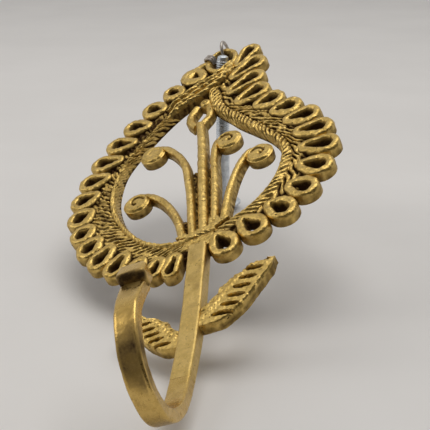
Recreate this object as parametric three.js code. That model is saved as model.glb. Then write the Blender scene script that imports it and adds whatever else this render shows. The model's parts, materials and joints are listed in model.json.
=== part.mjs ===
// Cast brass leaf wall hook with its fixing bolt.
// Millimetres. +Z is up the wall, +X is to the right, the wall is the plane Y = 0 and the front faces -Y.
// The casting grew from wax wires laid side by side, so each wire, ring and leaf is a mesh of its own.
import * as THREE from 'three';

// ---- driving dimensions -------------------------------------------------------------------------
const CAST_DEPTH = 4.5;          // thickness of the petals and of the eye
const GAP = 0.3;                 // clear space between neighbouring meshes

const PETALS_LEFT = 16;
const PETALS_RIGHT = 14;
const PETAL_RADIUS = 5.1;        // round end of a petal where its neighbours leave room
const EYE_PETAL_RADIUS = 4.5;    // round end of the two petals beside the eye
const PETAL_ROOT_RADIUS = 2.0;   // narrow end of a petal, on the braid
const PETAL_HOLE_RATIO = 0.5;    // hole radius over petal radius at the round end
const PETAL_HOLE_ROOT = 0.7;     // hole radius at the narrow end
const LEFT_CROWDING = 1.17;      // above 1 the petals stand closer together near the base

const BRAID_DEPTH = 4.2;
const STEM_DEPTH = 4.4;
const SCROLL_RADIUS = 3.2;       // centre line of the curl at a stem's tip
const SCROLL_TURN = 1.62 * Math.PI;
const SCROLL_WIRE = 3.3;

const STRAP_WIDTH = 6.4;         // bar, and hook up to its last upright stretch
const STRAP_TIP_WIDTH = 7.2;     // hook under its lip
const BAR_THICKNESS = 5.2;
const HOOK_THICKNESS = 4.0;
const BAR_SPLIT_Z = -50;         // bar above, hook below

const LIP_WIDTH = 7.6;
const LIP_HEIGHT = 4;
const LIP_DEPTH = 7.2;           // from the wall outwards
const LIP_FRONT = 41;            // its front face from the wall
const LIP_CENTRE = [-1, -38.5];  // [x, z]

const EYE_CENTRE = [6.8, 125];
const EYE_HOLE = [5.2, 6.6];     // half width and half height of the hole
const EYE_WALL = 2.2;

const BOLT_DIAMETER = 6;
const BOLT_LENGTH = 65;
const BOLT_HEAD_DIAMETER = 16;
const BOLT_HEAD_HEIGHT = 3.6;
const BOLT_AXIS = new THREE.Vector3(0.35, -0.87, 0.33).normalize();
const BOLT_REACH = 3.6;          // how far the bolt's end stands past the middle of the eye

const TIE_WIRE = 1.5;
const TIE_RADIUS = 4.3;          // the loose turn above the eye
const TIE_LIFT = 1.6;            // it stands this far out from the middle of the eye's wall
const WRAP_WIDTH = 2.8;          // the tight turns at the side, as one band

// Outlines in the plane of the wall, [x, z], from the base of the leaf to its tip.
const LEFT = {
  inner: [[-3.4, 13.6], [-14, 16.4], [-21.4, 22], [-29, 33], [-33.2, 45], [-34, 55], [-32, 67], [-23, 82],
    [-12, 95], [-4.6, 100.4], [1.4, 104.4], [2.8, 109], [3.5, 114.6]],
  outer: [[-7, 7.5], [-17, 9], [-29, 18.5], [-40, 32], [-43.3, 48], [-39.6, 64], [-29.4, 84], [-16.6, 103.4],
    [-8.2, 111.8], [-2.2, 116]],
  tips: [[-9, 0.3], [-22, 4.5], [-36, 15], [-46, 32.5], [-49.3, 52], [-43.8, 75], [-31, 95.5], [-15.2, 112.4],
    [-6.4, 120.6]],
};
const RIGHT = {
  inner: [[6.9, 15.6], [12.5, 19.4], [18.6, 23.4], [25.8, 32], [29.6, 42], [30, 50], [26.8, 57.4],
    [19.8, 66.6], [13, 75.4], [7.2, 86], [4, 93], [3.2, 99], [2, 104.4], [3.4, 109], [4.1, 114.6]],
  outer: [[6.6, 11.8], [17, 16.6], [27, 21], [36, 32], [38, 46], [34, 62], [25, 77], [13.6, 88.2], [9.8, 99],
    [10.6, 108], [14, 116.4]],
  tips: [[9.9, 5.8], [19.3, 10], [28.6, 14], [38.5, 23.5], [46, 38], [46.5, 49], [41.5, 64.5], [29.5, 81],
    [22, 94], [20.8, 104], [21.6, 114], [19.6, 125.4]],
};

const SCROLL_STEMS = {
  scroll_outer_left: {
    path: [[-5.9, 16.8], [-7.4, 23.5], [-9.6, 30], [-13, 36.9], [-17.3, 42.6], [-21.5, 45.6]],
    centre: [-26.4, 42.6], side: 1 },
  scroll_inner_left: {
    path: [[-2, 16.4], [-2.9, 25], [-3.6, 34.5], [-5.2, 47.7], [-7, 58.1], [-11.1, 67], [-16.5, 73.4]],
    centre: [-22.6, 70.9], side: 1 },
  scroll_inner_right: { path: [[5.9, 21.4], [5.5, 42.6], [4.8, 59.5], [6.4, 67]],
    centre: [11.6, 65.7], side: -1 },
  scroll_outer_right: { path: [[9.4, 20.8], [11.2, 33.7], [13.5, 43.2], [16.4, 50.2], [19.6, 54]],
    centre: [23.8, 49.8], side: -1 },
};

// ---- materials ----------------------------------------------------------------------------------
const brass = { color: 0xb08d3c, roughness: 0.42, metalness: 0.9 };
const polishedBrass = { color: 0xb5923f, roughness: 0.3, metalness: 0.95 };
const zinc = { color: 0xa9b0b5, roughness: 0.35, metalness: 0.9 };

const group = new THREE.Group();
group.name = 'leaf_wall_hook';

function add(name, geometry, look) {
  geometry.computeVertexNormals();
  const mesh = new THREE.Mesh(geometry, new THREE.MeshStandardMaterial(look));
  mesh.name = name;
  group.add(mesh);
}

// ---- geometry helpers ---------------------------------------------------------------------------
function curve(points) {
  return new THREE.CatmullRomCurve3(points.map(([x, z]) => new THREE.Vector3(x, 0, z)), false, 'centripetal');
}

// A closed body through a list of rings, each a loop of points that runs the same way round.
function loft(rings) {
  const size = rings[0].length;
  const positions = [];
  const index = [];
  for (const ring of rings) {
    for (const point of ring) positions.push(point.x, point.y, point.z);
  }
  for (let i = 0; i + 1 < rings.length; i += 1) {
    for (let j = 0; j < size; j += 1) {
      const a = i * size + j;
      const b = i * size + (j + 1) % size;
      index.push(a, b, a + size, b, b + size, a + size);
    }
  }
  const last = (rings.length - 1) * size;
  for (let j = 1; j + 1 < size; j += 1) {
    index.push(0, j + 1, j, last, last + j, last + j + 1);
  }
  const geometry = new THREE.BufferGeometry();
  geometry.setAttribute('position', new THREE.Float32BufferAttribute(positions, 3));
  geometry.setIndex(index);
  return geometry;
}

// One section of a half-round moulding with a flat back on the wall, from edge a to edge b.
function mouldingRing(a, b, depth) {
  const profile = [[0, 0], [0, 0.55], [0.2, 0.9], [0.5, 1], [0.8, 0.9], [1, 0.55], [1, 0]];
  return profile.map(([across, out]) => new THREE.Vector3(
    a.x + (b.x - a.x) * across, -depth * out, a.z + (b.z - a.z) * across));
}

// A half-round wire laid flat on the wall along a path.
function wire(path, widthAt, depth, steps) {
  const rings = [];
  for (let i = 0; i <= steps; i += 1) {
    const at = path.getPointAt(i / steps);
    const along = path.getTangentAt(i / steps);
    const side = new THREE.Vector3(-along.z, 0, along.x).multiplyScalar(widthAt(i / steps) / 2);
    rings.push(mouldingRing(at.clone().add(side), at.clone().sub(side), depth));
  }
  return loft(rings);
}

// A flat shape drawn in [x, z], standing between the wall side and the front side.
function slab(shape, depth, back = 0, curveSegments = 8) {
  const geometry = new THREE.ExtrudeGeometry(shape, { depth, bevelEnabled: false, curveSegments });
  geometry.rotateX(Math.PI / 2);
  geometry.translate(0, -back, 0);
  return geometry;
}

// The outline round two circles: a teardrop with its narrow end at the root.
function teardrop(target, root, rootRadius, tip, tipRadius) {
  const dx = tip[0] - root[0];
  const dz = tip[1] - root[1];
  const heading = Math.atan2(dz, dx);
  const spread = Math.acos((rootRadius - tipRadius) / Math.hypot(dx, dz));
  target.absarc(tip[0], tip[1], tipRadius, heading - spread, heading + spread, false);
  target.absarc(root[0], root[1], rootRadius, heading + spread, heading - spread + 2 * Math.PI, false);
  return target;
}

// ---- petals and braids --------------------------------------------------------------------------
function clearance(point, edge) {
  return Math.min(...edge.map((other) => other.distanceTo(point)));
}

function addPetals(side, count, crowding, prefix) {
  const tipCurve = curve(side.tips);
  const rootCurve = curve(side.outer);
  const steps = Array.from({ length: count }, (_, i) => (i / (count - 1)) ** crowding);
  const tips = steps.map((u) => tipCurve.getPointAt(u));
  const braidEdge = rootCurve.getSpacedPoints(80);
  steps.forEach((u, i) => {
    const tip = tips[i];
    const neighbours = [tips[i - 1], tips[i + 1]].filter(Boolean);
    const pitch = Math.min(...neighbours.map((other) => other.distanceTo(tip)));
    const root = rootCurve.getPointAt(u);
    const outward = tip.clone().sub(root).normalize();
    while (clearance(root, braidEdge) < PETAL_ROOT_RADIUS + GAP) root.addScaledVector(outward, 0.1);
    const roundest = PETAL_ROOT_RADIUS + 0.85 * root.distanceTo(tip);
    const limits = [PETAL_RADIUS, (pitch - GAP) / 2, roundest, clearance(tip, braidEdge) - GAP];
    if (i === count - 1) limits.push(EYE_PETAL_RADIUS);
    const radius = Math.min(...limits);
    const shape = teardrop(new THREE.Shape(), [root.x, root.z], PETAL_ROOT_RADIUS, [tip.x, tip.z], radius);
    shape.holes.push(teardrop(new THREE.Path(), [root.x, root.z], PETAL_HOLE_ROOT,
      [tip.x, tip.z], radius * PETAL_HOLE_RATIO));
    add(`${prefix}_${String(i + 1).padStart(2, '0')}`, slab(shape, CAST_DEPTH), brass);
  });
}

function braid(side, flip) {
  const inner = curve(side.inner);
  const outer = curve(side.outer);
  const steps = 40;
  const rings = [];
  for (let i = 0; i <= steps; i += 1) {
    const a = inner.getPointAt(i / steps);
    const b = outer.getPointAt(i / steps);
    rings.push(flip ? mouldingRing(b, a, BRAID_DEPTH) : mouldingRing(a, b, BRAID_DEPTH));
  }
  return loft(rings);
}

addPetals(LEFT, PETALS_LEFT, LEFT_CROWDING, 'petal_left');
addPetals(RIGHT, PETALS_RIGHT, 1, 'petal_right');
add('braid_left', braid(LEFT, true), brass);
add('braid_right', braid(RIGHT, false), brass);

// ---- fan of stems -------------------------------------------------------------------------------
function scrollStem({ path, centre, side }) {
  const points = path.map(([x, z]) => new THREE.Vector3(x, 0, z));
  const start = side > 0 ? 0.44 * Math.PI : 0.56 * Math.PI;
  for (let i = 0; i <= 9; i += 1) {
    const angle = start + side * SCROLL_TURN * (i / 9);
    const shrink = SCROLL_RADIUS * (1.12 - 0.2 * (i / 9));
    const x = centre[0] + shrink * Math.cos(angle);
    const z = centre[1] + shrink * Math.sin(angle);
    points.push(new THREE.Vector3(x, 0, z));
  }
  const line = new THREE.CatmullRomCurve3(points, false, 'centripetal');
  return wire(line, (u) => SCROLL_WIRE * (u < 0.8 ? 1 : 1 - (u - 0.8)), STEM_DEPTH, 44);
}

for (const [name, stem] of Object.entries(SCROLL_STEMS)) add(name, scrollStem(stem), brass);

const CENTRE_LINE = [[1.9, 17.4], [1.2, 31], [0.5, 45], [-0.8, 73], [-1.6, 81.4]];
const FORK_LEFT_LINE = [[-4.4, 83], [-6.1, 86.2], [-6.1, 90], [-4.6, 93.2]];
const FORK_RIGHT_LINE = [[-0.2, 83], [1.7, 86], [2.2, 89], [1.8, 91.6]];
add('stem_centre', wire(curve(CENTRE_LINE), () => 4, STEM_DEPTH, 16), brass);
add('fork_left', wire(curve(FORK_LEFT_LINE), () => 3.8, STEM_DEPTH, 10), brass);
add('fork_right', wire(curve(FORK_RIGHT_LINE), () => 3.6, STEM_DEPTH, 10), brass);

const BUD_PROFILE = [[0, 0], [2.2, 0], [2.2, 2.6], [1.5, 4.1], [0, 4.6]];
const bud = new THREE.LatheGeometry(BUD_PROFILE.map(([across, out]) => new THREE.Vector2(across, out)), 16);
bud.rotateX(Math.PI);
bud.translate(0.2, 0, 95.6);
add('bud', bud, brass);

const FAN_OUTLINE = [[-5.7, 8.4], [-2.6, 7.9], [4.1, 7.9], [5.9, 10.8], [6.2, 15.8], [11.6, 19.4],
  [7.6, 20], [7.4, 21.1], [4.3, 21.1], [4.2, 17.3], [3.9, 17], [0, 16.6], [-0.3, 16], [-3.7, 15.8],
  [-4.2, 16.6], [-7.4, 15.8], [-7.6, 15.2], [-3.6, 14.1], [-3, 13.4]];
const fan = new THREE.Shape(FAN_OUTLINE.map(([x, z]) => new THREE.Vector2(x, z)));
add('fan_base', slab(fan, 4.8), brass);

// ---- bar, hook and lip --------------------------------------------------------------------------
// Side view of the strap's middle line, [y, z], from the leaf down and up again to the lip.
const STRAP_LINE = [[-2.6, 7.6], [-2.6, 0], [-2.6, -10], [-2.6, -20], [-3.5, -33], [-5, -44], [-7.4, -57],
  [-12, -66], [-18.8, -70.6], [-26.4, -69.9], [-32.8, -66.2], [-37.2, -60.4], [-39.2, -53.5], [-38.1, -47],
  [-35.9, -40.9]];
const strapCurve = new THREE.CatmullRomCurve3(
  STRAP_LINE.map(([y, z]) => new THREE.Vector3(0, y, z)), false, 'centripetal');
const STRAP_STEPS = 70;

// Box sections along the strap between two stations. On its way down the strap leans a little to the left
// and thins; up the last stretch it widens to the lip.
function strap(from, to) {
  const rings = [];
  for (let i = from; i <= to; i += 1) {
    const u = i / STRAP_STEPS;
    const at = strapCurve.getPointAt(u);
    const along = strapCurve.getTangentAt(u);
    const out = new THREE.Vector3(0, along.z, -along.y);
    const thinning = THREE.MathUtils.clamp((u - 0.25) / 0.25, 0, 1);
    const widening = THREE.MathUtils.clamp((u - 0.9) / 0.1, 0, 1);
    const halfThickness = THREE.MathUtils.lerp(BAR_THICKNESS, HOOK_THICKNESS, thinning) / 2;
    const halfWidth = THREE.MathUtils.lerp(STRAP_WIDTH, STRAP_TIP_WIDTH, widening) / 2;
    const centre = THREE.MathUtils.lerp(0.8, -0.9, Math.min(1, 2 * u)) - 0.5 * widening;
    const corners = [[-1, -1], [1, -1], [1, 1], [-1, 1]];
    rings.push(corners.map(([across, outward]) => new THREE.Vector3(centre + across * halfWidth, 0, 0)
      .add(at).addScaledVector(out, outward * halfThickness)));
  }
  return loft(rings);
}

const splitStep = Array.from({ length: STRAP_STEPS }, (_, i) => i)
  .find((i) => strapCurve.getPointAt(i / STRAP_STEPS).z < BAR_SPLIT_Z);
add('stem_bar', strap(0, splitStep), polishedBrass);
const hook = strap(splitStep, STRAP_STEPS);
hook.translate(0, 0, -GAP);
add('j_hook', hook, polishedBrass);

const halfLip = LIP_WIDTH / 2;
const lipShape = new THREE.Shape();
lipShape.moveTo(-halfLip, -LIP_HEIGHT / 2);
lipShape.lineTo(halfLip, -LIP_HEIGHT / 2);
lipShape.lineTo(halfLip, LIP_HEIGHT / 2 - 1.2);
lipShape.quadraticCurveTo(halfLip - 0.2, LIP_HEIGHT / 2 - 0.1, halfLip - 1.4, LIP_HEIGHT / 2);
lipShape.lineTo(1.4 - halfLip, LIP_HEIGHT / 2);
lipShape.quadraticCurveTo(0.2 - halfLip, LIP_HEIGHT / 2 - 0.1, -halfLip, LIP_HEIGHT / 2 - 1.2);
const lip = slab(lipShape, LIP_DEPTH, LIP_FRONT - LIP_DEPTH, 4);
lip.translate(LIP_CENTRE[0], 0, LIP_CENTRE[1]);
add('hook_lip', lip, polishedBrass);

// ---- leaves on the bar --------------------------------------------------------------------------
// Outline of a leaf one unit long, stalk at the origin, notched on its upper side.
const LEAF_OUTLINE = [[-0.07, -0.12], [0.11, -0.27], [0.39, -0.25], [0.66, -0.17], [0.91, -0.09], [1, 0],
  [0.93, 0.07], [0.8, 0.09], [0.74, 0.14], [0.6, 0.13], [0.54, 0.19], [0.42, 0.17], [0.36, 0.2], [0.24, 0.12],
  [0.08, 0.11]];

function sprigLeaf(base, heading, length, mirror) {
  const shape = new THREE.Shape(LEAF_OUTLINE.map(([along, up]) => new THREE.Vector2(
    base[0] + mirror * length * (along * Math.cos(heading) - up * Math.sin(heading)),
    base[1] + length * (along * Math.sin(heading) + up * Math.cos(heading)))));
  return slab(shape, 4.4, 0.8);
}

add('leaf_right', sprigLeaf([3.8, -24], 0.576, 28.4, 1), brass);
add('leaf_left', sprigLeaf([-3.7, -31], 0.6, 23, -1), brass);

// ---- eye, tie wires and bolt --------------------------------------------------------------------
const eyeShape = new THREE.Shape();
eyeShape.absellipse(...EYE_CENTRE, EYE_HOLE[0] + EYE_WALL, EYE_HOLE[1] + EYE_WALL, 0, 2 * Math.PI);
const eyeHole = new THREE.Path();
eyeHole.absellipse(...EYE_CENTRE, ...EYE_HOLE, 0, 2 * Math.PI);
eyeShape.holes.push(eyeHole);
add('fixing_eye', slab(eyeShape, CAST_DEPTH, 0, 28), brass);

// Sets a turn of wire round the wall of the eye, at an angle round the eye.
function roundTheEye(turn, angle, lift) {
  turn.rotateY(-angle);
  turn.translate(EYE_CENTRE[0] + (EYE_HOLE[0] + EYE_WALL / 2 + lift) * Math.cos(angle), -CAST_DEPTH / 2,
    EYE_CENTRE[1] + (EYE_HOLE[1] + EYE_WALL / 2 + lift) * Math.sin(angle));
  return turn;
}

function box(target, width, height) {
  target.moveTo(-width / 2, -height / 2);
  target.lineTo(width / 2, -height / 2);
  target.lineTo(width / 2, height / 2);
  target.lineTo(-width / 2, height / 2);
  return target;
}

const looseTurn = new THREE.TorusGeometry(TIE_RADIUS, TIE_WIRE / 2, 8, 28);
add('tie_wire_top', roundTheEye(looseTurn, 0.46 * Math.PI, TIE_LIFT), zinc);

const wrapHole = [EYE_WALL + 0.9, CAST_DEPTH + 2 * GAP];
const wrapShape = box(new THREE.Shape(), wrapHole[0] + 1.6, wrapHole[1] + 1.6);
wrapShape.holes.push(box(new THREE.Path(), wrapHole[0], wrapHole[1]));
const wrap = new THREE.ExtrudeGeometry(wrapShape, { depth: WRAP_WIDTH, bevelEnabled: false });
wrap.translate(0, 0, -WRAP_WIDTH / 2);
add('tie_wire_side', roundTheEye(wrap, 0.83 * Math.PI, 0), zinc);

// Coach bolt, turned about its own axis: the thread end at the top, the mushroom head at the bottom.
const r = BOLT_DIAMETER / 2;
const R = BOLT_HEAD_DIAMETER / 2;
const boltProfile = [[0, 0], [r - 0.7, 0], [r, -0.7], [r, -BOLT_LENGTH], [R, -BOLT_LENGTH],
  [R, -BOLT_LENGTH - 0.8], [R * 0.72, -BOLT_LENGTH - BOLT_HEAD_HEIGHT * 0.75],
  [0, -BOLT_LENGTH - BOLT_HEAD_HEIGHT]];
const bolt = new THREE.LatheGeometry(boltProfile.reverse().map(([x, y]) => new THREE.Vector2(x, y)), 24);
const middleOfEye = new THREE.Vector3(EYE_CENTRE[0], -CAST_DEPTH / 2, EYE_CENTRE[1]);
bolt.applyQuaternion(new THREE.Quaternion().setFromUnitVectors(new THREE.Vector3(0, 1, 0), BOLT_AXIS));
bolt.translate(...middleOfEye.clone().addScaledVector(BOLT_AXIS, BOLT_REACH).toArray());
add('fixing_bolt', bolt, zinc);

export default group;
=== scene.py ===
# Cast brass leaf wall hook with its fixing bolt: the visual model.
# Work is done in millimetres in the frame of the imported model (+Z up the wall, front towards -Y)
# and turned into metres when a piece is made.
import json
from math import cos, pi, radians, sin

import bmesh
import bpy
import numpy as np
from mathutils import Matrix, Vector
from numpy.linalg import norm


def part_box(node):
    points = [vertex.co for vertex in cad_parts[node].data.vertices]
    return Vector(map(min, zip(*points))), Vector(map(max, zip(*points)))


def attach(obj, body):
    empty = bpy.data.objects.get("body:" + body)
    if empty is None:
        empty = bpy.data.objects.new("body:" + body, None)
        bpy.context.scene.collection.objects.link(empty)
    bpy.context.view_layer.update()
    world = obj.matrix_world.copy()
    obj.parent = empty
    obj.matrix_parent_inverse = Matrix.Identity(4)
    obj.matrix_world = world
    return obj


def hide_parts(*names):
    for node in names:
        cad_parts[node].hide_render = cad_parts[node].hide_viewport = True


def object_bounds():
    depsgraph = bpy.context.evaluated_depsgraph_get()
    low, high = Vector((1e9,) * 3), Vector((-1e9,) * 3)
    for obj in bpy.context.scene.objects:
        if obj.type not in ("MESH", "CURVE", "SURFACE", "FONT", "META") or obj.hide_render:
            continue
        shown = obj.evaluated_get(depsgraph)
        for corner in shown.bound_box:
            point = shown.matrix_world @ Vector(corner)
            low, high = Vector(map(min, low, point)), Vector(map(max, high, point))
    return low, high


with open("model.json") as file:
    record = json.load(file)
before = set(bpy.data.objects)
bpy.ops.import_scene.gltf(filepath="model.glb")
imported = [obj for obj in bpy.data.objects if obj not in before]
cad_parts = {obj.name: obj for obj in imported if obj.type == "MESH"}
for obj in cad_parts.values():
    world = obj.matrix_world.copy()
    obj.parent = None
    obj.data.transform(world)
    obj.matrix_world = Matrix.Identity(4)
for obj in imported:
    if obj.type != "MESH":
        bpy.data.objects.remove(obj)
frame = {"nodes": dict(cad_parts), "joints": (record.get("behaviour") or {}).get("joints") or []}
CAD_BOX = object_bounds()
BOX_LOW = np.array(CAD_BOX[0]) * 1000
BOX_HIGH = np.array(CAD_BOX[1]) * 1000
scene = bpy.context.scene

# ---- driving dimensions, in millimetres ----
CAST_DEPTH = 4.5
BRAID_DEPTH = 4.2
STEM_DEPTH = 4.4
BRANCH_HEIGHT = 0.86      # of the two short branches, over the depth of a stem
PETAL_SWELL = 0.25        # a petal swells this much at its tip, so that it runs into its neighbours
PETAL_ROOT_REACH = 1.35   # and this much more at its root, over the edge of the braid
EYE_PETAL_SWELL = 1.1     # the last petal on the left swells this much more, up to the eye
EYE_SWELL = 0.15
SKIRT = 3.4               # a braid goes on this far under the roots of the petals
NECK_SKIRT = 2.2          # and this much further in the neck

# A braid is a twisted cord along its inner edge and a row of slanting strokes outside it. Pitches are
# along the braid; a slant is how far a strand runs along the braid for each mm across it; cuts are how
# deep the grooves are. The strands of the cord get thicker from the share coarse_from of its length.
# The dirt and shade value says how dark the strokes are painted (painted shade and dirt) and how rough they
# are, bulge how far the inner edge stands in near the neck, and low_cord the share of its width that the cord
# has near the bar.
LEFT_BRAID = dict(turn=1, cord=3.9, strand_pitch=2.1, strand_cut=0.5, coarse_from=0.56, dirt_and_shade=0.3,
                  stroke_pitch=2.3, stroke_slant=1.15, stroke_cut=1.0, bulge=0.0, low_cord=0.6)
RIGHT_BRAID = dict(turn=-1, cord=5.9, strand_pitch=2.4, strand_cut=1.05, coarse_from=2.0, dirt_and_shade=0.08,
                   stroke_pitch=4.2, stroke_slant=1.25, stroke_cut=1.7, bulge=1.8, low_cord=0.95)
CORD_SLANT = 1.35
CREST_SHARE = 0.4         # the crest of the cord is this share of its width from its inner side
COARSE_SLANT = 1.1
COARSE_PITCH = 3.1
COARSE_CUT = 1.3
COARSE_SWELL = 1.4        # the cord is this much wider where its strands are thick
OVER_BAR_LIFT = 0.9       # the left braid stands this much higher where it passes over the bar

# The twisted wires over the neck, and the plain wire from the last left petal to the eye.
STRAND_WIDTH = 2.7
STRAND_HEIGHT = 5.7
STRAND_PITCH = 4.6
BRIDGE_WIDTH = 4.6
BRIDGE_HEIGHT = 4.3

SCROLL_RIM = 5.2
GROOVE_TURN = 1.3 * pi    # how far the groove in a scroll winds
GROOVE_WIDTH = 0.42
GROOVE_DEPTH = 1.1
FAINT_GROOVE = 0.25       # its depth on the inner left scroll

# The copied junction: its voxels, swell and unevenness, and its depth over the CAD's.
COPY_VOXEL = 0.3
COPY_GROW = 0.3
COPY_UNEVEN = 0.1
COPY_SQUASH = 0.84

STRAP_WIDTH = 6.4
STRAP_TIP_WIDTH = 7.2
STRAP_BEVEL = 0.7
BAR_THICKNESS = 5.2
HOOK_THICKNESS = 4.0
BAR_SPLIT_Z = -50.0
LIP_CENTRE = (-1.3, -37.6, -38.9)
LIP_HALF = (4.1, 3.0, 2.8)
LIP_TILT = -0.25          # about X, in radians
# Side view of the strap's middle line, [y, z], the same as the CAD strap.
STRAP_LINE = [(-2.6, 7.6), (-2.6, 0), (-2.6, -10), (-2.6, -20), (-3.5, -33), (-5, -44), (-7.4, -57),
              (-12, -66), (-18.8, -70.6), (-26.4, -69.9), (-32.8, -66.2), (-37.2, -60.4), (-39.2, -53.5),
              (-38.1, -47), (-35.9, -40.9)]

LEAF_BACK = 0.8
LEAF_DEPTH = 4.4
LEAF_EDGE = 1.4           # a leaf's edge is upright up to about this height, and higher near its tip
LEAF_BEND = 1.4           # the tip of a leaf stands this much further forward
RECESS_SLANT = -0.75      # of a leaf's recesses from its axis, in radians
RECESS_DEPTH = 2.2
THREAD_PITCH = 1.0
THREAD_LENGTH = 37.0
THREAD_DEPTH = 0.45
BOLT_RADIUS = 2.98
BOLT_HEAD_HEIGHT = 3.6
WRAP_TURNS = 3            # of thin wire in the wrap at the left of the eye

# The direction that is up for the table in the photograph, then the camera, the point the lights aim at
# and half the table's width, in metres, but the lens in millimetres.
TABLE_UP = Vector((0.35, -0.87, 0.33)).normalized()
CAMERA_PLACE = Vector((0.0859, -0.1816, -0.2143))
CAMERA_AZIMUTH = radians(24.1)
CAMERA_ELEVATION = radians(-50.5)
CAMERA_ROLL = radians(2.1)
CAMERA_LENS = 75.98
LIGHTS_AIM = Vector((0.0, -0.01, 0.035))
BOARD_HALF = 4.0


# ---- outlines read from the CAD nodes ----
def wall_loops(node, level=0.0):
    """Closed outlines, [x, z], of the flat back of a node, the longest first."""
    mesh = frame["nodes"][node].data
    points = [tuple(round(c * 1000, 3) for c in v.co) for v in mesh.vertices]
    edges = set()
    for face in mesh.polygons:
        ring = [points[i] for i in face.vertices]
        if all(abs(p[1] + level) < 0.03 for p in ring):
            edges.update(zip(ring, ring[1:] + ring[:1]))
    follow = {a: b for a, b in sorted(edges) if (b, a) not in edges}
    loops = []
    while follow:
        start = min(follow)
        loop = [start]
        here = follow.pop(start)
        while here != start and here in follow:
            loop.append(here)
            here = follow.pop(here)
        loops.append(np.array([(p[0], p[2]) for p in loop]))
    return sorted(loops, key=lambda l: -norm(l - np.roll(l, 1, 0), axis=1).sum())


def node_points(node):
    """The corners of a CAD node, in millimetres."""
    return np.array([v.co for v in frame["nodes"][node].data.vertices]) * 1000


def full_turn(count):
    """Evenly spaced angles once round."""
    return np.linspace(0, 2 * pi, count, endpoint=False)


def lengths(points):
    """Distance along a line of points, from its start."""
    return np.concatenate([[0], np.cumsum(norm(np.diff(points, axis=0), axis=1))])


def smooth_line(points, count):
    """A smooth line through the points, as count points evenly spaced along it."""
    p = np.vstack([2 * points[0] - points[1], points, 2 * points[-1] - points[-2]])
    t = np.linspace(0, 1, 9)[:-1, None]
    parts = []
    for a, b, c, d in zip(p, p[1:], p[2:], p[3:]):
        parts.append(b + 0.5 * t * (c - a + t * (2 * a - 5 * b + 4 * c - d + t * (3 * (b - c) + d - a))))
    fine = np.vstack(parts + [points[-1:]])
    along = lengths(fine)
    want = np.linspace(0, along[-1], count)
    return np.stack([np.interp(want, along, fine[:, k]) for k in range(fine.shape[1])], 1)


def even_loop(loop, count):
    """A closed outline as count points evenly spaced along it."""
    closed = np.vstack([loop, loop[:1]])
    along = lengths(closed)
    want = np.linspace(0, along[-1], count, endpoint=False)
    return np.stack([np.interp(want, along, closed[:, k]) for k in range(2)], 1)


def two_sides(node, count):
    """The two long edges of a strip lying on the wall, each from its lower end up."""
    loop = wall_loops(node)[0]
    before = loop - np.roll(loop, 1, 0)
    after = np.roll(loop, -1, 0) - loop
    cross = before[:, 0] * after[:, 1] - before[:, 1] * after[:, 0]
    turn = np.abs(np.arctan2(cross, (before * after).sum(1)))
    corners = sorted(np.argsort(-turn)[:4])
    chains = []
    for i, first in enumerate(corners):
        last = corners[(i + 1) % 4]
        chain = np.arange(first, last + 1 if last > first else last + 1 + len(loop)) % len(loop)
        chains.append(loop[chain])
    chains.sort(key=lambda c: -lengths(c)[-1])
    # The two sides run opposite ways round the outline; the lower end of the strip is their start.
    a, b = chains[0], chains[1][::-1]
    if a[0][1] + b[0][1] > a[-1][1] + b[-1][1]:
        a, b = a[::-1], b[::-1]
    return smooth_line(a, count), smooth_line(b, count)


# ---- making pieces ----
def bumps(points, wavelength, seed):
    """Smooth noise, mostly between -1 and 1, with bumps about a wavelength across."""
    source = np.random.default_rng(seed)
    flat = np.asarray(points, float)
    total = np.zeros(flat.shape[:-1])
    for _ in range(14):
        heading = source.normal(size=3)
        heading *= 2 * pi / norm(heading) / (wavelength * source.uniform(0.7, 1.6))
        total += np.sin(flat @ heading + source.uniform(0, 2 * pi))
    return total / 3.8


def unit(rows):
    """Each row as a unit vector."""
    return rows / norm(rows, axis=1)[:, None]


def sideways(line):
    """Unit steps to the left of a line, at each of its points."""
    heading = unit(np.gradient(line, axis=0))
    return np.stack([-heading[:, 1], heading[:, 0]], 1)


def loop_normals(loop):
    """Unit steps to the right of a closed line, at each of its points."""
    heading = np.roll(loop, -1, 0) - np.roll(loop, 1, 0)
    return unit(np.stack([heading[:, 1], -heading[:, 0]], 1))


def squared(x, power):
    """A sine or cosine changed so that it draws a squarer shape than a circle; 1 leaves it as it is."""
    return np.sign(x) * np.abs(x) ** power


def ease(low, high, x):
    """0 at low and 1 at high, smooth between; low may be the larger."""
    t = np.clip((x - low) / (high - low), 0, 1)
    return t * t * (3 - 2 * t)


def new_object(name, data):
    """An object in the scene, at the origin."""
    made = bpy.data.objects.new(name, data)
    scene.collection.objects.link(made)
    return made


def paint_shade_and_grime(mesh, shade):
    """Writes how dark each point of a mesh is painted, from 0 to 1, with painted shade and dirt, for the
    materials to read.
    """
    values = np.clip(shade, 0, 1).astype(np.float32)
    mesh.attributes.new("shade_and_grime", "FLOAT", "POINT").data.foreach_set("value", values)


def finish_piece(name, mesh, node, look, body, sharp):
    mesh.polygons.foreach_set("use_smooth", [True] * len(mesh.polygons))
    mesh.set_sharp_from_angle(angle=radians(sharp))
    piece = new_object(name, mesh)
    material, slot = look
    mesh.materials.clear()
    mesh.materials.append(material)
    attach(piece, body)
    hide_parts(node)


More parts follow.
